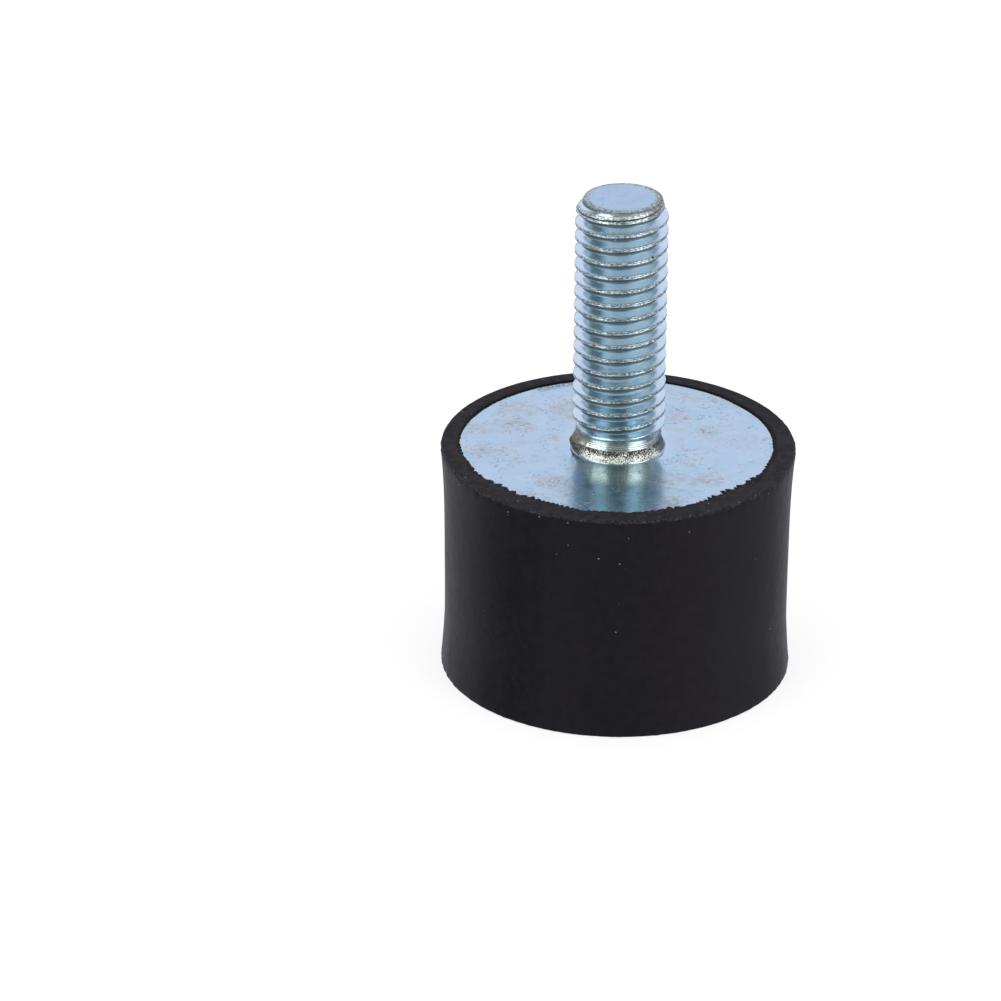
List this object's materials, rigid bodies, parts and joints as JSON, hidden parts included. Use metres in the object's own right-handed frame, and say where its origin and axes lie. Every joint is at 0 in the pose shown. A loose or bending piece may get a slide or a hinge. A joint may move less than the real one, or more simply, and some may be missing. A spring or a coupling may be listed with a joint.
{
  "type": "bobbin vibration mount",
  "caption": "Cylindrical rubber bobbin mount with a steel plate bonded in each end, a threaded stud on one side and a blind threaded hole on the other.",
  "frame": {"origin": "centre of the lower end face, on the axis of the mount", "axes": "+Z along the axis, towards the stud's tip; +X and +Y lie in the lower end face, and the mount is round about Z"},
  "size_m": [0.03, 0.03, 0.0427],
  "materials": {
    "rubber": "satin black moulded rubber with fine specks and a torn, slightly rough rim",
    "zinc_plated_steel": "bright blue-white zinc plating, satin, with fine scratches and faint tan staining"
  },
  "bodies": {
    "root": {"rubber_body": "rubber", "stud_plate": "zinc_plated_steel", "threaded_plate": "zinc_plated_steel"}
  },
  "joints": []
}
